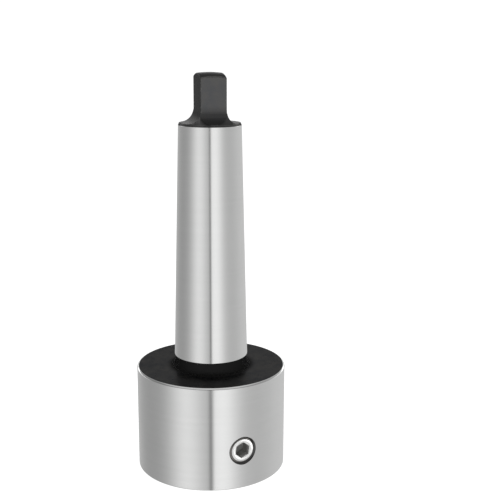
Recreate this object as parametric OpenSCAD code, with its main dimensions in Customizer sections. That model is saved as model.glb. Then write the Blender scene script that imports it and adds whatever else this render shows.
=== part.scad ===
// Boring head arbor with a size 4 self-holding taper shank, in millimetres.
// It stands on the mating face of its head, with Z along its axis towards the tang.
// The locking screw lies along -Y. The screw hole, the coupling bore and the taper
// share their sizes with the screw and the head, so a changed size moves what meets it.

/* [Head] */
// Outside diameter of the cylindrical head
head_d = 64; // [52:0.5:90]
// Height of the head from its mating face to its top face
head_h = 45; // [40:0.5:70]
// Edge break on the rim of the top face
head_top_edge = 0.6; // [0.2:0.1:1.5]
// Edge break on the rim of the mating face
head_foot_edge = 0.4; // [0.2:0.1:1.5]

/* [Coupling bore] */
// Diameter of the centring bore in the mating face
bore_d = 36; // [28:0.5:44]
// Depth of the centring bore
bore_depth = 37; // [30:0.5:38]
// Width of the chamfer at the mouth of the bore
bore_chamfer = 0.8; // [0.3:0.1:2]
// Radius between the wall and the floor of the bore
bore_corner_r = 1.5; // [0.5:0.1:3]

/* [Neck] */
// Diameter of the relieved neck between head and taper
neck_d = 30.4; // [26:0.1:31]
// Length of the neck above the head
neck_h = 4.6; // [3:0.1:6]
// Fillet between the neck and the top face of the head
neck_fillet_r = 1.2; // [0.4:0.1:2]

/* [Taper] */
// Diameter of the taper at its gauge plane
gauge_d = 31.267; // [29:0.001:34]
// Height of the gauge plane above the head
gauge_h = 6.5; // [6:0.1:10]
// Length over which the diameter falls by one unit
taper_ratio = 19.254; // [15:0.001:25]
// Height of the small end of the ground taper above the head
taper_end_h = 102.9; // [80:0.1:110]
// Edge break at the large end of the taper
taper_foot_edge = 0.4; // [0.2:0.1:1]
// Height of the turned lead between the ground taper and the tang
lead_h = 0.8; // [0.4:0.1:2]
// How far the lead narrows on the radius
lead_in = 0.35; // [0.1:0.05:1]

/* [Tang] */
// Height of the crown of the tang above the head
tang_end_h = 124.2; // [118:0.1:135]
// Thickness of the tang over its two wide flats
tang_t = 10.6; // [8:0.1:14]
// Width of the tang over its two narrow flats
tang_w = 22.1; // [16:0.1:23]
// Radius of the milled coves that run the wide flats out into the taper
cove_r = 5.2; // [3:0.1:8]
// Radius of the longer run-outs of the narrow flats
runout_r = 18.4; // [12:0.1:40]
// Radius of the domed end of the tang
crown_r = 42; // [18:0.5:80]
// Angle of the tang about the axis, measured from the screw
tang_turn = -15.8; // [-90:0.1:90]

/* [Locking screw] */
// Thread diameter of the locking screw
screw_d = 12; // [8:0.5:14]
// Length of the locking screw, point included
screw_len = 12.6; // [10:0.1:16]
// Height of the screw axis above the mating face
screw_h = 16.6; // [12:0.1:26]
// Depth of the outer end of the screw below the head's surface at rest
screw_sink = 0.6; // [0:0.1:3]
// Running clearance on the radius between screw and hole
screw_fit = 0.05; // [0.02:0.01:0.1]
// Edge break at the mouth of the screw hole
hole_edge = 0.25; // [0.1:0.05:1]
// Width of the chamfer at the outer end of the screw
screw_chamfer = 1.3; // [0.3:0.1:1.5]
// Diameter where the cone point leaves the screw's thread
point_d = 9.6; // [5:0.1:10]
// Length of the cone point
point_len = 3.6; // [2:0.1:5]
// Diameter of the blunted tip of the point
tip_d = 2.4; // [1:0.1:4]
// Width across the flats of the hex socket
socket_af = 6; // [4:0.1:7]
// Depth of the hex socket
socket_depth = 5.5; // [3:0.1:7]
// Turn of the hex socket about the screw's axis
socket_turn = 8; // [0:0.5:59.5]

/* [Hidden] */
$fn = 96;
over = 1;

head_r = head_d / 2;
bore_r = bore_d / 2;
neck_r = neck_d / 2;
neck_z = head_h + neck_h;
gauge_z = head_h + gauge_h;
taper_end_z = head_h + taper_end_h;
tang_end_z = head_h + tang_end_h;
hole_r = screw_d / 2 + screw_fit;
tang_half = tang_w / 2;
hole_len = head_r - bore_r;

// Radius of the taper at a height above the mating face
function taper_r(z) = (gauge_d - (z - gauge_z) / taper_ratio) / 2;

taper_foot_r = taper_r(neck_z);
taper_top_r = taper_r(taper_end_z);

// The lead ends where the tang begins. The milling stops just above it, so its rim stays round.
lead_z = taper_end_z + lead_h;
lead_r = taper_top_r - lead_in;
mill_step = 0.2;
mill_z = lead_z + mill_step;
cove_z = mill_z + cove_r;
runout_in = tang_half + runout_r - lead_r;
runout_z = mill_z + sqrt(max(0, runout_r * runout_r - runout_in * runout_in));

// Turned outline of the head
module head_outline() {
    polygon([
        [0, 0],
        [head_r - head_foot_edge, 0],
        [head_r, head_foot_edge],
        [head_r, head_h - head_top_edge],
        [head_r - head_top_edge, head_h],
        [0, head_h]
    ]);
}

// Turned outline of the neck, with the fillet that runs it into the head's top face
module neck_outline() {
    translate([0, head_h])
        square([neck_r, neck_h + over]);
    difference() {
        translate([0, head_h])
            square([neck_r + neck_fillet_r, neck_fillet_r]);
        translate([neck_r + neck_fillet_r, head_h + neck_fillet_r])
            circle(r = neck_fillet_r);
    }
}

// Turned outline of the ground taper and of the lead above it
module taper_outline() {
    polygon([
        [0, neck_z],
        [taper_foot_r - taper_foot_edge, neck_z],
        [taper_r(neck_z + taper_foot_edge), neck_z + taper_foot_edge],
        [taper_top_r, taper_end_z],
        [lead_r, lead_z],
        [0, lead_z]
    ]);
}

// Turned outline of the tang before its flats are milled: a plain end with a shallow dome
module tang_outline() {
    intersection() {
        translate([0, lead_z - over])
            square([lead_r, tang_end_z - lead_z + over]);
        translate([0, tang_end_z - crown_r])
            circle(r = crown_r);
    }
}

// Outline of the coupling bore, from below the mating face to its floor
module bore_outline() {
    polygon([
        [0, -over],
        [bore_r + bore_chamfer + over, -over],
        [bore_r, bore_chamfer],
        [bore_r, bore_depth - bore_corner_r],
        [0, bore_depth - bore_corner_r]
    ]);
    square([bore_r - bore_corner_r, bore_depth]);
    translate([bore_r - bore_corner_r, bore_depth - bore_corner_r])
        circle(r = bore_corner_r);
}

// What the milling cutter takes off one wide flat of the tang, cove included
module wide_cut() {
    reach = 4 * tang_half;
    top = tang_end_z - cove_z + over;
    translate([tang_t / 2 + cove_r, 0, cove_z])
        rotate([90, 0, 0])
            cylinder(r = cove_r, h = reach, center = true);
    translate([tang_t / 2, -reach / 2, cove_z])
        cube([reach, reach, top]);
    translate([tang_t / 2 + cove_r, -reach / 2, mill_z])
        cube([reach, reach, cove_r + over]);
}

// What the milling cutter takes off one narrow flat of the tang, run-out included
module narrow_cut() {
    reach = 4 * tang_half;
    translate([0, tang_half + runout_r, runout_z])
        rotate([0, 90, 0])
            cylinder(r = runout_r, h = reach, center = true);
    translate([-reach / 2, tang_half, runout_z])
        cube([reach, reach, tang_end_z - runout_z + over]);
}

// Tapped hole for the locking screw, kept at its thread diameter plus the running clearance
module screw_hole() {
    translate([0, -head_r - over, screw_h])
        rotate([-90, 0, 0])
            cylinder(r = hole_r, h = hole_len + 2 * over);
    translate([0, -head_r, screw_h])
        rotate([-90, 0, 0])
            cylinder(r1 = hole_r + hole_edge, r2 = hole_r, h = hole_edge);
}

// Head of the arbor, with the coupling bore and the hole for the locking screw
module arbor_head() {
    color([0.62, 0.63, 0.65])
        difference() {
            rotate_extrude()
                head_outline();
            rotate_extrude()
                bore_outline();
            screw_hole();
        }
}

// Shank of the arbor, in one piece with the head: neck, taper and tang
module arbor_shank() {
    color([0.7, 0.71, 0.73])
        difference() {
            rotate_extrude() {
                neck_outline();
                taper_outline();
                tang_outline();
            }
            rotate([0, 0, tang_turn]) {
                wide_cut();
                mirror([1, 0, 0])
                    wide_cut();
                narrow_cut();
                mirror([0, 1, 0])
                    narrow_cut();
            }
        }
}

// The screw is drawn from its outer end inwards and then laid along its hole.
module locking_screw() {
    r = screw_d / 2;
    point_r = point_d / 2;
    point_z = screw_len - point_len;
    shoulder = r - point_r;
    socket_r = socket_af / 2 / cos(30);
    drill_r = 0.46 * socket_af;
    color([0.45, 0.46, 0.48])
        translate([0, -head_r + screw_sink, screw_h])
            rotate([-90, 0, 0])
                difference() {
                    rotate_extrude()
                        polygon([
                            [0, 0],
                            [r - screw_chamfer, 0],
                            [r, screw_chamfer],
                            [r, point_z - shoulder],
                            [point_r, point_z],
                            [tip_d / 2, screw_len],
                            [0, screw_len]
                        ]);
                    rotate([0, 0, 30 + socket_turn])
                        translate([0, 0, -over])
                            cylinder(r = socket_r, h = socket_depth + over, $fn = 6);
                    translate([0, 0, socket_depth - over])
                        cylinder(r = drill_r, h = over);
                    translate([0, 0, socket_depth])
                        cylinder(r1 = drill_r, r2 = 0, h = drill_r / 2);
                }
}

arbor_head();
arbor_shank();
locking_screw();
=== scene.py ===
"""Boring head arbor: a bored head with a threaded locking screw, and a ground taper shank with a tang."""

import math

import bmesh
import bpy
from mathutils import Matrix, Vector


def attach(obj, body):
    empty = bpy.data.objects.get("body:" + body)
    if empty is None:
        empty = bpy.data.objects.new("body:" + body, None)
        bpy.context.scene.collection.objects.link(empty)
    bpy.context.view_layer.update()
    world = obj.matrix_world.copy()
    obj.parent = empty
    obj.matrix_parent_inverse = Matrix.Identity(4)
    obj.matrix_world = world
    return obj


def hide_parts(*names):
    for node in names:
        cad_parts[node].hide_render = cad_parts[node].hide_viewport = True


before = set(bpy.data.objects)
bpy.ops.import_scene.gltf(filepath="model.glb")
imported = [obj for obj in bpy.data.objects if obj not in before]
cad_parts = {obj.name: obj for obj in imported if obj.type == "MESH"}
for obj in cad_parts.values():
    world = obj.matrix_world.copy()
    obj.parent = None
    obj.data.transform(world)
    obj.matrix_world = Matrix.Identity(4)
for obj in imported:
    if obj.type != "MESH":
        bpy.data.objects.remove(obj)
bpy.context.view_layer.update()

# Sizes in millimetres and turns in degrees, as in the part's source
HEAD_R = 32.0
HEAD_H = 45.0
HEAD_TOP_EDGE = 0.6
HEAD_FOOT_EDGE = 0.4
BORE_R = 18.0
BORE_DEPTH = 37.0
BORE_CORNER = 1.5
BORE_CHAMFER = 0.8
NECK_R = 15.2
NECK_TOP = 49.6
NECK_FILLET = 1.2
GAUGE_D = 31.267
GAUGE_Z = 51.5
TAPER_RATIO = 19.254
TAPER_FOOT_EDGE = 0.4
TAPER_FOOT = NECK_TOP + TAPER_FOOT_EDGE
TAPER_TOP = 147.9
LEAD_TOP = 148.7
LEAD_IN = 0.35
MILL_Z = 148.9
TANG_HALF_THICK = 5.3
TANG_HALF_WIDE = 11.05
COVE_R = 5.2
RUNOUT_R = 18.4
CROWN_R = 42.0
TANG_END = 169.2
TANG_TURN = -15.8
SCREW_R = 6.0
SCREW_LEN = 12.6
SCREW_HEIGHT = 16.6
SCREW_SINK = 0.6
SCREW_POINT_Z = 9.0
SCREW_POINT_R = 4.8
SCREW_TIP_R = 1.2
SOCKET_FLATS = 6.0
SOCKET_DEPTH = 5.5
SOCKET_TURN = 8.0
DRILL_R = 2.76

# What only the scene has, in millimetres and degrees: the threads, whose flats are shares of the pitch,
# the mouth of their hole, rounded edges, the ringed end of the screw, and how far the cutting shapes reach
PITCH = 1.75
THREAD_ROOT = 5.06
THREAD_FLAT = 0.125
TAP_R = 6.06
TAP_ROOT = 5.13
TAP_FLAT = 0.16
TAP_LEN = 18.0
MOUTH_R = 8.16
MOUTH_OUT = -2.0
LAND_FROM = 0.1
LAND_TO = 0.62
SLOPE_R = 5.0
SLOPE_TO = 1.68
FOOT_ROUND = 0.12
RIM_ROUND = 0.18
TAPER_ROUND = 0.1
TANG_ROUND = 0.42
TIP_ROUND = 0.25
FACE_R = 2.94
FACE_SINK = 0.3
RING_R = 4.06
RING_CENTRE = 2.1
RING_ARC = 53
FACE_END = 1.9
ROD_R = 6.4
SHOULDER = 1.6
ROD_CLEAR = 1.0
BROACH_CLEAR = 1.0
DRILL_OVERLAP = 0.5
TURN_CLEAR = 2
MILL_CLEAR = 4
MILL_REACH = 26.0
MILL_HALF = 20.0
DOME_HALF = 15.0
DOME_CLEAR = 12

# How fine the meshes are, and which edges are rounded or shaded smooth
TURNED_STEPS = 240
SCREW_STEPS = 144
MOUTH_STEPS = 96
DRILL_STEPS = 48
THREAD_STEPS = 72
CORNER_STEPS = 6
FILLET_STEPS = 8
RING_STEPS = 10
MILL_STEPS = 16
ROUND_STEPS = 3
DOME_SQUARES = 20
MERGE = 1e-4
THREAD_MERGE = 5e-3
ON_PLANE = 1e-5
SHARP_EDGE = math.radians(26)
SMOOTH_BELOW = math.radians(32)

# Limits in millimetres, and shares of a normal, by which faces get their finishes and edges are rounded
SKIN = 0.02
WALL_SKIN = 0.05
HOLE_REACH = 6.5
BORE_FLOOR_FROM = 30
SOCKET_REACH = 3.6
SOCKET_FLOOR_FROM = 5
DRILL_END = 7.2
RING_EDGE = 4.84
RING_DEEP = 0.2
EDGE_FLAT_DEEP = 1.2
UPWARD = 0.93
SIDEWAYS = 0.6
ROUND_FROM = 0.6
ROUND_WITHIN = 0.2

# A millimetre in the scene's metres
MILLIMETRE = 0.001

# Places in each piece's list of finishes
HEAD_STEEL, HEAD_OXIDE = range(2)
SHANK_STEEL, SHANK_OXIDE, SHANK_MILLED, SHANK_WORN, SHANK_EDGE_FLAT = range(5)
SCREW_FACE, SCREW_THREAD, SCREW_SOCKET = range(3)


def taper_radius(z):
    """The radius of the ground taper at a height above the mating face."""
    return (GAUGE_D - (z - GAUGE_Z) / TAPER_RATIO) / 2


# Mesh work


class Outline:
    """A path of lines and arcs in the XZ plane, which is then turned about Z or carried along Y."""

    def __init__(self, x, z):
        self.bm = bmesh.new()
        self.tip = self.bm.verts.new((x, 0, z))

    def line(self, *points):
        for x, z in points:
            made = bmesh.ops.extrude_vert_indiv(self.bm, verts=[self.tip])
            self.tip = made["verts"][0]
            self.tip.co = (x, 0, z)
        return self

    def arc(self, x, z, degrees, steps):
        """Goes on round the centre (x, z); positive degrees go from +X towards +Z."""
        made = bmesh.ops.spin(
            self.bm,
            geom=[self.tip],
            cent=(x, 0, z),
            axis=(0, 1, 0),
            dvec=(0, 0, 0),
            angle=-math.radians(degrees),
            steps=steps,
            use_merge=False,
            use_duplicate=False,
        )
        self.tip = made["geom_last"][0]
        return self

    def ease(self, by, *corners):
        """Rounds the named corners of the path."""
        found = [
            min(self.bm.verts, key=lambda v: (v.co - Vector((x, 0, z))).length)
            for x, z in corners
        ]
        bmesh.ops.bevel(
            self.bm,
            geom=found,
            offset=by,
            segments=ROUND_STEPS,
            profile=0.5,
            affect="VERTICES",
            material=-1,
            clamp_overlap=True,
        )
        return self

    def turned(self, steps=TURNED_STEPS):
        bm = self.bm
        bmesh.ops.spin(
            bm,
            geom=bm.verts[:] + bm.edges[:],
            cent=(0, 0, 0),
            axis=(0, 0, 1),
            dvec=(0, 0, 0),
            angle=math.tau,
            steps=steps,
            use_merge=True,
            use_duplicate=False,
        )
        return close(bm)

    def carried(self, half):
        """Closes the path and carries it along Y to both sides."""
        bm = self.bm
        first = next(v for v in bm.verts if len(v.link_edges) == 1 and v != self.tip)
        bm.edges.new((self.tip, first))
        face = bmesh.ops.contextual_create(bm, geom=bm.edges[:])["faces"][0]
        bmesh.ops.translate(bm, verts=bm.verts, vec=(0, -half, 0))
        grown = bmesh.ops.extrude_face_region(bm, geom=[face], use_keep_orig=True)
        moved = [v for v in grown["geom"] if isinstance(v, bmesh.types.BMVert)]
        bmesh.ops.translate(bm, verts=moved, vec=(0, 2 * half, 0))
        return close(bm)


def close(bm):
    """Merges what meets and turns every face outwards."""
    bmesh.ops.remove_doubles(bm, verts=bm.verts, dist=MERGE)
    bmesh.ops.recalc_face_normals(bm, faces=bm.faces)
    return bm


def blank(name, bm):
    """A bmesh in millimetres as an object, for cutting."""
    mesh = bpy.data.meshes.new(name)
    bm.to_mesh(mesh)
    bm.free()
    made = bpy.data.objects.new(name, mesh)
    bpy.context.scene.collection.objects.link(made)
    return made


def cut(piece, tool, operation="DIFFERENCE"):
    """Takes the tool's shape off the piece, or keeps only what both share."""
    modifier = piece.modifiers.new("cut", "BOOLEAN")
    modifier.operation = operation
    modifier.solver = "EXACT"
    modifier.object = tool
    shapes = bpy.context.evaluated_depsgraph_get()
    mesh = bpy.data.meshes.new_from_object(piece.evaluated_get(shapes))
    piece.modifiers.clear()
    piece.data = mesh
    bpy.data.objects.remove(tool)
    return piece


def break_edges(piece, by, chosen, finish_index):
    """Rounds the sharp edges of a cut blank that the chosen test picks by their middle point."""
    bm = bmesh.new()
    bm.from_mesh(piece.data)
    bmesh.ops.remove_doubles(bm, verts=bm.verts, dist=MERGE)
    sharp = [
        e
        for e in bm.edges
        if len(e.link_faces) == 2
        and e.calc_face_angle(0) > SHARP_EDGE
        and chosen((e.verts[0].co + e.verts[1].co) / 2)
    ]
    bmesh.ops.bevel(
        bm,
        geom=sharp,
        offset=by,
        segments=ROUND_STEPS,
        profile=0.5,
        affect="EDGES",
        material=finish_index,
        clamp_overlap=False,
        loop_slide=True,
    )
    bm.to_mesh(piece.data)
    bm.free()
    return piece


def lay_in_hole(bm, out=0.0):
    """Turns a shape made along Z, outer end first, to where the locking screw lies, or further out."""
    place = Matrix.Translation((0, -HEAD_R + SCREW_SINK - out, SCREW_HEIGHT))
    turn = Matrix.Rotation(math.radians(-90), 4, "X")
    bmesh.ops.transform(bm, matrix=place @ turn, verts=bm.verts)
    return bm


def thread_rod(crest, root, low, high, crest_flat):
    """A rod with a right-hand thread along Z from low to high. crest_flat is a share of the pitch."""
    flank = (crest - root) * math.tan(math.radians(30))
    flat = crest_flat * PITCH
    base = PITCH - 2 * flank - flat
    turns = math.ceil((high - low) / PITCH) + 3
    start = PITCH * math.floor(low / PITCH - 2) - flat / 2 - flank - base
    tooth = Outline(root, start).line(
        (root, start + base),
        (crest, start + base + flank),
        (crest, start + base + flank + flat),
        (root, start + PITCH),
    )
    bm = tooth.bm
    bmesh.ops.spin(
        bm,
        geom=bm.verts[:] + bm.edges[:],
        cent=(0, 0, 0),
        axis=(0, 0, 1),
        dvec=(0, 0, PITCH / THREAD_STEPS),
        angle=math.tau * turns,
        steps=THREAD_STEPS * turns,
        use_merge=False,
        use_duplicate=False,
    )
    bmesh.ops.remove_doubles(bm, verts=bm.verts, dist=THREAD_MERGE)
    for height, side in ((low, -1), (high, 1)):
        bmesh.ops.bisect_plane(
            bm,
            geom=bm.verts[:] + bm.edges[:] + bm.faces[:],
            dist=ON_PLANE,
            plane_co=(0, 0, height),
            plane_no=(0, 0, side),
            clear_outer=True,
        )
    bmesh.ops.holes_fill(bm, edges=[e for e in bm.edges if e.is_boundary], sides=0)
    return close(bm)


def dress(piece, body, stands_for, finishes, sort_face, turn=0.0):
    """Scales a finished blank to metres, gives each face its finish and puts the piece on its body."""
    bm = bmesh.new()
    bm.from_mesh(piece.data)
    piece.data.materials.clear()
    for coat in finishes:
        piece.data.materials.append(coat)
    bmesh.ops.remove_doubles(bm, verts=bm.verts, dist=MERGE)
    for face in bm.faces:
        face.smooth = True
        face.material_index = sort_face(face)
    for edge in bm.edges:
        if len(edge.link_faces) == 2:
            edge.smooth = edge.calc_face_angle(0) < SMOOTH_BELOW
    size = Matrix.Scale(MILLIMETRE, 4) @ Matrix.Rotation(math.radians(turn), 4, "Z")
    bmesh.ops.transform(bm, matrix=size, verts=bm.verts)
    bm.to_mesh(piece.data)
    bm.free()
    level = piece.modifiers.new("level_faces", "WEIGHTED_NORMAL")
    level.keep_sharp = True
    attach(piece, body)
    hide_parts(stands_for)
    return piece


# Shader work


class Wire:
    """A socket in a node tree. Arithmetic on it adds Math nodes."""

    def __init__(self, tree, socket=None):
        self.tree, self.socket = tree, socket

    def node(self, kind, settings=(), sockets=(), out=0):
        """Any node, with its settings and with values or wires in its sockets."""
        made = self.tree.nodes.new("ShaderNode" + kind)
        for name, value in dict(settings).items():
            setattr(made, name, value)
        for key, value in dict(sockets).items():
            if isinstance(value, Wire):
                self.tree.links.new(value.socket, made.inputs[key])
            else:
                made.inputs[key].default_value = value
        return Wire(self.tree, made.outputs[out])

    def maths(self, operation, *others):
        """A Math node with this value first."""
        return self.node("Math", {"operation": operation}, enumerate((self, *others)))

    def __add__(self, other):
        return self.maths("ADD", other)

    def __sub__(self, other):
        return self.maths("SUBTRACT", other)

    def __mul__(self, other):
        return self.maths("MULTIPLY", other)

    def __truediv__(self, other):
        return self.maths("DIVIDE", other)

    __radd__ = __add__
    __rmul__ = __mul__

    def __rsub__(self, other):
        return self * -1.0 + other

    def root(self):
        return self.maths("SQRT")

    def step(self, low, high):
        """0 below low and 1 above high, smooth between."""
        return self.node(
            "MapRange",
            {"interpolation_type": "SMOOTHSTEP"},
            {"Value": self, "From Min": low, "From Max": high},
        )

    def hump(self, centre, width):
        """A soft hump of height 1 round a value."""
        away = (self - centre) / width
        return (away * away * -1.0).maths("EXPONENT")

    def tint(self, low, high):
        """A colour between two others by this share."""
        return self.node("Mix", {"data_type": "RGBA"}, {0: self, 6: low, 7: high}, out=2)


def finish(name, build, **fixed):
    """A metal. build(wire) gives colour, roughness, relief and its depth; fixed sockets hold one value."""
    made = bpy.data.materials.new(name)
    made.use_nodes = True
    made.node_tree.nodes.clear()
    wire = Wire(made.node_tree)
    colour, roughness, relief, depth = build(wire)
    sockets = {"Base Color": colour, "Roughness": roughness, "Metallic": 1.0}
    sockets["Normal"] = wire.node("Bump", (), {"Distance": depth, "Height": relief})
    sockets.update({k.replace("_", " "): v for k, v in fixed.items()})
    shader = wire.node("BsdfPrincipled", (), sockets)
    out = made.node_tree.nodes.new("ShaderNodeOutputMaterial")
    made.node_tree.links.new(shader.socket, out.inputs["Surface"])
    return made


def grey(level):
    """A grey as an opaque colour."""
    return (level, level, level, 1)


def place_of(wire):
    """Object coordinates as x, y, z in millimetres."""
    spot = wire.node("TexCoord", out="Object")
    return [wire.node("SeparateXYZ", (), {0: spot}, out=axis) * 1000.0 for axis in "XYZ"]


def off_axis(a, b):
    """The distance from an axis, by the two coordinates across it."""
    return (a * a + b * b).root()


def noise(wire, x, y, z, detail=2.0, roughness=0.5):
    """Soft noise. The factors on x, y and z say how many of its grains fill a millimetre."""
    spot = wire.node("CombineXYZ", (), {0: x, 1: y, 2: z})
    sockets = {"Vector": spot, "Scale": 1.0, "Detail": detail, "Roughness": roughness}
    return wire.node("TexNoise", (), sockets, out="Fac")


def ground_steel(wire):
    """Bright ground steel: grinding lines round the axis, fine and broad, and faint handling marks."""
    x, y, z = place_of(wire)
    r = off_axis(x, y)
    lines = noise(wire, r * 9.0, x * 0.05, z * 9.0 + y * 0.05, 3.0, 0.7)
    bands = noise(wire, r * 0.9, x * 0.03, z * 0.9 + y * 0.03, 2.0)
    smudge = noise(wire, x * 0.11, y * 0.11, z * 0.07, 3.0, 0.6)
    tone = lines * 0.25 + bands * 0.35 + smudge * 0.4
    colour = tone.tint((0.80, 0.805, 0.80, 1), (0.93, 0.93, 0.925, 1))
    roughness = lines * 0.05 + smudge.step(0.45, 0.8) * 0.05 + 0.095
    return colour, roughness, lines, 1.2e-6


BLUE_BLACK = (0.102, 0.104, 0.108, 1)
BROWN_BLACK = (0.142, 0.139, 0.135, 1)


def black_oxide(wire):
    """Oiled black oxide over turned steel: turning lines, blotches, and painted shade, dark and rough,
    round the neck.
    """
    x, y, z = place_of(wire)
    r = off_axis(x, y)
    lines = noise(wire, r * 5.0, x * 0.06, z * 5.0 + y * 0.06, 2.0, 0.6)
    blotch = noise(wire, x * 0.16, y * 0.16, z * 0.16, 3.0, 0.6)
    oil = noise(wire, x * 0.5 + 7.0, y * 0.5, z * 0.35, 2.0)
    tone = (blotch * 0.6 + oil * 0.4).step(0.3, 0.75)
    dry = tone.tint(BLUE_BLACK, BROWN_BLACK)
    # Painted shade: the neck and the head's top next to it are darkened and roughened
    painted_neck_shade = (1.0 - r.step(15.6, 20.0)) * (1.0 - z.step(NECK_TOP + 0.1, NECK_TOP + 0.6))
    colour = painted_neck_shade.tint(dry, grey(0.028))
    roughness = oil * 0.1 + lines * 0.05 + painted_neck_shade * 0.35 + 0.22
    return colour, roughness, lines * 0.8 + blotch * 0.2, 5e-6


def worn_black(wire):
    """The same oxide on an edge, where handling has polished it and bared a little steel."""
    x, y, z = place_of(wire)
    rub = noise(wire, x * 1.6, y * 1.6, z * 1.1, 4.0, 0.65)
    grain = noise(wire, x * 6.0, y * 6.0, z * 6.0, 2.0)
    bare = rub.step(0.5, 0.72)
    colour = bare.tint((0.13, 0.129, 0.127, 1), (0.26, 0.255, 0.25, 1))
    return colour, rub * 0.12 + 0.28, grain, 4e-6


def milled_black(wire):
    """Black oxide over the milled flats and coves: faint cutter passes, and the same blotches."""
    x, y, z = place_of(wire)
    passes = noise(wire, x * 0.1, y * 0.1, z * 3.2, 2.0, 0.6)
    blotch = noise(wire, x * 0.2, y * 0.2, z * 0.2, 3.0, 0.6)
    colour = blotch.step(0.3, 0.75).tint(BLUE_BLACK, BROWN_BLACK)
    return colour, passes * 0.05 + blotch * 0.06 + 0.2, passes, 2e-6


def edge_flat_black(wire):
    """The narrow flats of the tang: a smoother, greyer black, with painted shade where they run out at the
    foot.
    """
    x, y, z = place_of(wire)
    passes = noise(wire, x * 0.1, y * 0.1, z * 3.2, 2.0, 0.6)
    blotch = noise(wire, x * 0.2, y * 0.2, z * 0.2, 3.0, 0.6)
    # Painted shade: the narrow flats get darker towards the foot of the tang, where they run out
    foot = 1.0 - z.step(MILL_Z - 1.0, MILL_Z + 4.0)
    rubbed = blotch.step(0.3, 0.75).tint((0.09, 0.092, 0.096, 1), (0.106, 0.104, 0.102, 1))
    colour = foot.tint(rubbed, grey(0.07))
    return colour, passes * 0.03 + blotch * 0.04 + 0.14, passes, 1e-6


def screw_steel(wire):
    """Bright plated steel of the locking screw, turned on its end face."""
    x, y, z = place_of(wire)
    up = z - SCREW_HEIGHT
    ring = off_axis(x, up)
    lines = noise(wire, ring * 8.0, x * 0.3, up * 0.3, 2.0, 0.6)
    cloud = noise(wire, x * 0.7, y * 0.7, z * 0.7, 3.0, 0.6)
    colour = (lines * 0.5 + cloud * 0.5).tint((0.80, 0.80, 0.79, 1), (0.97, 0.97, 0.96, 1))
    return colour, lines * 0.12 + cloud * 0.1 + 0.2, lines, 8e-6


def thread_steel(wire):
    """The thread, the point and the outer slope of the end face, with painted shade darkening them towards
    the roots.
    """
    x, y, z = place_of(wire)
    ring = off_axis(x, z - SCREW_HEIGHT)
    cloud = noise(wire, x * 0.9, y * 0.9, z * 0.9, 3.0, 0.6)
    # Painted shade: full within 5.7 mm of the screw's axis, fading out by 6.1 mm
    painted_root_shade = 1.0 - ring.step(5.7, 6.1)
    colour = (painted_root_shade * 0.7 + cloud * 0.3).tint((0.62, 0.61, 0.59, 1), (0.16, 0.15, 0.14, 1))
    return colour, cloud * 0.16 + 0.26, cloud, 6e-6


def broached_steel(wire):
    """The walls of the hex socket, with broach lines along it, and painted shade darkening them towards the
    bottom.
    """
    x, y, z = place_of(wire)
    lines = noise(wire, x * 5.0, y * 0.3, z * 5.0, 2.0, 0.6)
    # Painted shade: the socket's walls darken from 0.8 mm to 4 mm deep
    painted_socket_shade = (y + HEAD_R).step(0.8, 4.0)
    colour = painted_socket_shade.tint((0.92, 0.92, 0.91, 1), (0.48, 0.48, 0.47, 1))
    return colour, lines * 0.15 + 0.45, lines, 8e-6


# The pieces


def make_head():
    """The head: turned outline, coupling bore from below, and the tapped hole for the locking screw."""
    path = Outline(0, BORE_DEPTH).line((BORE_R - BORE_CORNER, BORE_DEPTH))
    path.arc(BORE_R - BORE_CORNER, BORE_DEPTH - BORE_CORNER, -90, CORNER_STEPS)
    mouth = (BORE_R, BORE_CHAMFER), (BORE_R + BORE_CHAMFER, 0)
    foot = (HEAD_R - HEAD_FOOT_EDGE, 0), (HEAD_R, HEAD_FOOT_EDGE)
    rim = (HEAD_R, HEAD_H - HEAD_TOP_EDGE), (HEAD_R - HEAD_TOP_EDGE, HEAD_H)
    path.line(*mouth, *foot, *rim, (0, HEAD_H))
    path.ease(FOOT_ROUND, *mouth, *foot)
    path.ease(RIM_ROUND, *rim)
    head = blank("head", path.turned())
    tap = thread_rod(TAP_R, TAP_ROOT, 0.0, TAP_LEN, TAP_FLAT)
    head = cut(head, blank("tap", lay_in_hole(tap)))
    # From the head's surface inwards: a countersink, a plain land, and a slope into the thread
    sink = Outline(0, MOUTH_OUT).line((MOUTH_R, MOUTH_OUT), (TAP_R, LAND_FROM), (TAP_R, LAND_TO))
    sink.line((SLOPE_R, SLOPE_TO), (0, SLOPE_TO))
    return cut(head, blank("mouth", lay_in_hole(sink.turned(MOUTH_STEPS), SCREW_SINK)))


def make_shank():
    """The shank: turned neck, taper, lead and domed end, with two wide and two narrow flats on its tang."""
    lead = taper_radius(TAPER_TOP) - LEAD_IN
    large_end = (taper_radius(TAPER_FOOT), TAPER_FOOT)
    small_end = (taper_radius(TAPER_TOP), TAPER_TOP)
    over = TANG_END + TURN_CLEAR
    path = Outline(0, HEAD_H).line((NECK_R + NECK_FILLET, HEAD_H))
    path.arc(NECK_R + NECK_FILLET, HEAD_H + NECK_FILLET, -90, FILLET_STEPS)
    path.line((NECK_R, NECK_TOP), (taper_radius(NECK_TOP) - TAPER_FOOT_EDGE, NECK_TOP), large_end)
    path.line(small_end, (lead, LEAD_TOP), (lead, over), (0, over))
    path.ease(TAPER_ROUND, large_end, small_end)
    shank = blank("shank", path.turned())
    shank = cut(shank, blank("coves", milling(TANG_HALF_THICK, COVE_R, COVE_R, 90)))
    inwards = TANG_HALF_WIDE + RUNOUT_R - lead
    rise = math.sqrt(RUNOUT_R**2 - inwards**2)
    sides = milling(TANG_HALF_WIDE, RUNOUT_R, rise, 45)
    bmesh.ops.rotate(sides, verts=sides.verts, matrix=Matrix.Rotation(math.radians(90), 3, "Z"))
    shank = cut(shank, blank("run_outs", sides))
    shank = cut(shank, blank("over_the_dome", above_dome()))

    def on_tang(spot):
        return spot.z > MILL_Z + ROUND_FROM and math.hypot(spot.x, spot.y) < lead - ROUND_WITHIN

    return break_edges(shank, TANG_ROUND, on_tang, SHANK_WORN)


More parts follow.
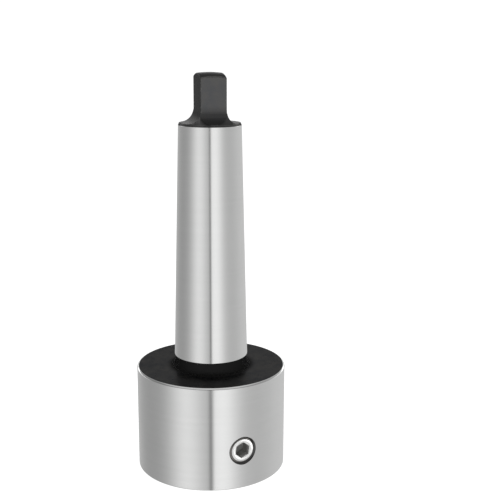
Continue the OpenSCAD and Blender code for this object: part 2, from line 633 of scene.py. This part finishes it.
def above_dome():
    """Everything over the tang's domed end, in squares of 1.5 mm that leave room for its rounded edges."""
    bm = bmesh.new()
    squares = {"x_segments": DOME_SQUARES, "y_segments": DOME_SQUARES}
    bmesh.ops.create_grid(bm, size=DOME_HALF, **squares)
    for v in bm.verts:
        v.co.z = TANG_END - CROWN_R + math.sqrt(CROWN_R**2 - v.co.x**2 - v.co.y**2)
    grown = bmesh.ops.extrude_face_region(bm, geom=bm.faces[:], use_keep_orig=True)
    moved = [v for v in grown["geom"] if isinstance(v, bmesh.types.BMVert)]
    bmesh.ops.translate(bm, verts=moved, vec=(0, 0, DOME_CLEAR))
    return close(bm)


def milling(flat, radius, rise, degrees):
    """What the cutter takes off two opposite flats of the tang, down to its run-outs."""
    over = TANG_END + MILL_CLEAR
    path = Outline(flat, over).line((flat, MILL_Z + rise))
    path.arc(flat + radius, MILL_Z + rise, degrees, MILL_STEPS)
    path.line((MILL_REACH, path.tip.co.z), (MILL_REACH, over))
    bm = path.carried(MILL_HALF)
    bmesh.ops.mirror(bm, geom=bm.verts[:] + bm.edges[:] + bm.faces[:], axis="X")
    return close(bm)


def make_screw():
    """The locking screw: a rod with a rolled thread, turned to its ends, with a broached hex socket."""
    # The end face rises to a rounded ring about its socket and then slopes off beyond the thread
    path = Outline(0, FACE_SINK).line((FACE_R, FACE_SINK))
    path.arc(RING_R, RING_CENTRE, RING_ARC, RING_STEPS)
    path.line((ROD_R, FACE_END), (ROD_R, SCREW_POINT_Z - SHOULDER), (SCREW_POINT_R, SCREW_POINT_Z))
    path.line((SCREW_TIP_R, SCREW_LEN), (0, SCREW_LEN))
    path.ease(TIP_ROUND, (SCREW_TIP_R, SCREW_LEN))
    screw = blank("screw", lay_in_hole(path.turned(SCREW_STEPS)))
    rod = thread_rod(SCREW_R, THREAD_ROOT, -ROD_CLEAR, SCREW_LEN + ROD_CLEAR, THREAD_FLAT)
    screw = cut(screw, blank("rod", lay_in_hole(rod)), "INTERSECT")
    corner = SOCKET_FLATS / 2 / math.cos(math.radians(30))
    hexagon = bmesh.new()
    sizes = {"radius1": corner, "radius2": corner, "depth": SOCKET_DEPTH + BROACH_CLEAR}
    bmesh.ops.create_cone(hexagon, cap_ends=True, segments=6, **sizes)
    place = Matrix.Translation((0, 0, (SOCKET_DEPTH - BROACH_CLEAR) / 2))
    turn = Matrix.Rotation(math.radians(SOCKET_TURN), 4, "Z")
    bmesh.ops.transform(hexagon, matrix=place @ turn, verts=hexagon.verts)
    screw = cut(screw, blank("broach", lay_in_hole(hexagon)))
    start = SOCKET_DEPTH - DRILL_OVERLAP
    drill = Outline(0, start).line((DRILL_R, start))
    drill.line((DRILL_R, SOCKET_DEPTH), (0, SOCKET_DEPTH + DRILL_R / 2))
    return cut(screw, blank("drill", lay_in_hole(drill.turned(DRILL_STEPS))))


STEEL = finish("ground_steel", ground_steel, Anisotropic=0.6, Anisotropic_Rotation=0.25)
SOFT_EDGE = grey(0.32)
OXIDE = finish("black_oxide", black_oxide, Specular_Tint=SOFT_EDGE)
WORN = finish("worn_black_edge", worn_black, Specular_Tint=SOFT_EDGE)
MILLED = finish("milled_black", milled_black, Specular_Tint=grey(0.2))
EDGE_FLAT = finish("edge_flat_black", edge_flat_black, Specular_Tint=SOFT_EDGE)
SCREW = finish("screw_face_steel", screw_steel)
THREAD = finish("thread_steel", thread_steel)
SOCKET = finish("broached_socket", broached_steel)


def sort_head(face):
    """Ground outside, below and in the bore; black on top, on the bore's floor and in the tapped hole."""
    spot = face.calc_center_median()
    r = math.hypot(spot.x, spot.y)
    by_screw = spot.y < 0 and math.hypot(spot.x, spot.z - SCREW_HEIGHT) < HOLE_REACH
    in_hole = by_screw and BORE_R + WALL_SKIN < r < HEAD_R - SKIN
    on_top = spot.z > HEAD_H - SKIN
    on_bore_floor = r < BORE_R - WALL_SKIN and spot.z > BORE_FLOOR_FROM
    return HEAD_OXIDE if in_hole or on_top or on_bore_floor else HEAD_STEEL


def sort_shank(face):
    """Ground on the taper, worn on the tang's rounded edges, milled on its flats, else turned and black."""
    spot = face.calc_center_median()
    if face.material_index == SHANK_WORN:
        return SHANK_WORN
    if NECK_TOP + SKIN < spot.z < TAPER_TOP + SKIN:
        return SHANK_STEEL
    if spot.z < MILL_Z or face.normal.z > UPWARD:
        return SHANK_OXIDE
    on_edge_flat = abs(spot.y) > TANG_HALF_WIDE - EDGE_FLAT_DEEP and abs(face.normal.x) < SIDEWAYS
    return SHANK_EDGE_FLAT if on_edge_flat else SHANK_MILLED


def sort_screw(face):
    """The ring of the end face bright, the socket broached, all the rest with the thread's finish."""
    spot = face.calc_center_median()
    ring = math.hypot(spot.x, spot.z - SCREW_HEIGHT)
    depth = spot.y + HEAD_R - SCREW_SINK
    inward = face.normal.x * spot.x + face.normal.z * (spot.z - SCREW_HEIGHT) < 0
    if SKIN < depth < DRILL_END and ring < SOCKET_REACH and (inward or depth > SOCKET_FLOOR_FROM):
        return SCREW_SOCKET
    return SCREW_FACE if depth < RING_DEEP and ring < RING_EDGE else SCREW_THREAD


head = dress(make_head(), "arbor", "arbor_head", (STEEL, OXIDE), sort_head)
head.visible_glossy = False
shank_finishes = (STEEL, OXIDE, MILLED, WORN, EDGE_FLAT)
shank = dress(
    make_shank(), "arbor", "arbor_shank", shank_finishes, sort_shank, TANG_TURN
)
screw = dress(make_screw(), "screw", "locking_screw", (SCREW, THREAD, SOCKET), sort_screw)


# Camera, light and floor

# A fit to the photograph, with a lens shift small enough for views from every side
PICTURE_PIXELS = 500.0
FOCAL_PIXELS = 954.59
SHIFT_PIXELS = 22.0
SENSOR = 36.0
CAMERA_SPOT = (16.76, -394.93, 182.15)
CAMERA_TURN = math.radians(-26.6)
CAMERA_DOWN = 0.23925
CAMERA_ROLL = 0.00491
CAMERA_SIDE = math.radians(-24.14)


def set_camera():
    """A camera close to the photograph's: 395 mm off, 182 mm up, looking down by 13.7 degrees."""
    turn = Matrix.Rotation(CAMERA_TURN, 3, "Z")
    down, roll = CAMERA_DOWN, CAMERA_ROLL
    ahead = Vector((0, math.cos(down), -math.sin(down)))
    up = Vector((0, math.sin(down), math.cos(down)))
    right = Vector((1, 0, 0))
    across = right * math.cos(roll) + up * math.sin(roll)
    upright = up * math.cos(roll) - right * math.sin(roll)
    axes = Matrix((turn @ across, turn @ upright, turn @ -ahead)).transposed()
    lens = bpy.data.cameras.new("camera")
    lens.sensor_width = SENSOR
    lens.lens = FOCAL_PIXELS * SENSOR / PICTURE_PIXELS
    lens.shift_y = SHIFT_PIXELS / PICTURE_PIXELS
    lens.clip_start, lens.clip_end = 0.01, 50.0
    made = bpy.data.objects.new("camera", lens)
    bpy.context.scene.collection.objects.link(made)
    spot = turn @ Vector(CAMERA_SPOT) * MILLIMETRE
    made.matrix_world = Matrix.Translation(spot) @ axes.to_4x4()
    bpy.context.scene.camera = made


def studio_walls():
    """Light from all round: two tall soft strips with a dark gap between them, and a soft top.

    Angles are in degrees round the object, from 0 at the camera's side to 90 at the right.
    """
    world = bpy.data.worlds.new("studio")
    bpy.context.scene.world = world
    world.use_nodes = True
    world.node_tree.nodes.clear()
    wire = Wire(world.node_tree)
    way = wire.node("TexCoord", out="Generated")
    x, y, up = [wire.node("SeparateXYZ", (), {0: way}, out=axis) for axis in "XYZ"]
    s, c = math.sin(CAMERA_SIDE), math.cos(CAMERA_SIDE)
    beside = x * c + y * s
    before = x * s - y * c
    angle = beside.maths("ARCTAN2", before) * (180 / math.pi)
    turned = (angle - 140.0) * (math.pi / 180)
    walls = turned.maths("COSINE") * 0.09 + 0.41
    left_strip = angle.hump(-38.0, 30.0) * 0.37
    right_strip = angle.hump(16.5, 27.0) * angle.step(-1.0, 6.5) * 0.42
    dark_card = angle.hump(-120.0, 40.0) * 0.09 + angle.hump(85.0, 28.0) * 0.03
    dark_gap = angle.hump(-1.0, 3.2) * 0.2
    round_it = walls + left_strip + right_strip - dark_card - dark_gap
    facing = (angle * (math.pi / 180)).maths("COSINE")
    dimmed = 1.0 - up.step(-0.07, 0.55) * (facing * 0.3 + 0.48)
    low_back = (1.0 - facing.step(-0.6, -0.1)) * up.hump(0.15, 0.07) * 1.4
    top = up.step(0.66, 0.9)
    light = (round_it * 1.16 * dimmed + low_back) * (1.0 - top) + top * 0.6
    shade = wire.node("Background", (), {"Color": (1, 1, 1, 1), "Strength": light})
    out = world.node_tree.nodes.new("ShaderNodeOutputWorld")
    world.node_tree.links.new(shade.socket, out.inputs["Surface"])


def plain_white(name, shade, shine):
    """A dull white that glows a little, for what isn't part of the object."""
    made = bpy.data.materials.new(name)
    made.use_nodes = True
    shader = made.node_tree.nodes["Principled BSDF"]
    shader.inputs["Base Color"].default_value = (shade, shade, shade, 1)
    shader.inputs["Roughness"].default_value = 1.0
    shader.inputs["Emission Color"].default_value = (1, 1, 1, 1)
    shader.inputs["Emission Strength"].default_value = shine
    return made


def lay_floor():
    """A plain pale floor, and a pale wall all round it for the camera alone.

    The floor casts no shadow, because half of the screw's softbox hangs below it.
    """
    bm = bmesh.new()
    bmesh.ops.create_circle(bm, cap_ends=True, segments=96, radius=3.0)
    floor = blank("floor", bm)
    floor.data.materials.append(plain_white("pale_floor", 0.3, 0.9))
    bm = bmesh.new()
    bmesh.ops.create_uvsphere(bm, u_segments=64, v_segments=32, radius=8.0)
    wall = blank("pale_wall", bm)
    wall.data.materials.append(plain_white("pale_wall", 0.0, 1.06))
    floor.visible_glossy = wall.visible_glossy = False
    wall.visible_diffuse = wall.visible_shadow = floor.visible_shadow = False
    wall.visible_transmission = False


def hang_lamp(name, side, height, away, size, power, aim=(0, 0, 0.05), lit=None):
    """A square softbox, placed by its angles in degrees, that lights everything or only one piece."""
    lamp = bpy.data.lights.new(name, "AREA")
    lamp.shape = "SQUARE"
    lamp.size = size
    lamp.energy = power
    made = bpy.data.objects.new(name, lamp)
    bpy.context.scene.collection.objects.link(made)
    a, e = math.radians(side) + CAMERA_SIDE, math.radians(height)
    spot = Vector((math.sin(a) * math.cos(e), -math.cos(a) * math.cos(e), math.sin(e))) * away
    turn = (Vector(aim) - spot).to_track_quat("-Z", "Y")
    made.matrix_world = Matrix.Translation(spot) @ turn.to_matrix().to_4x4()
    if lit:
        only = bpy.data.collections.new(name + "_lights")
        only.objects.link(lit)
        made.light_linking.receiver_collection = only
    return made


set_camera()
studio_walls()
lay_floor()
screw_mouth = (0, -HEAD_R * MILLIMETRE, SCREW_HEIGHT * MILLIMETRE)
top = hang_lamp("top_softbox", side=20, height=72, away=1.3, size=0.9, power=12.0)
top.visible_glossy = False
low_lamp = hang_lamp(
    "screw_softbox", side=68, height=0, away=0.35, size=0.28, power=0.32, aim=screw_mouth, lit=screw
)
low_lamp.visible_camera = False
bpy.context.scene.view_settings.view_transform = "Standard"
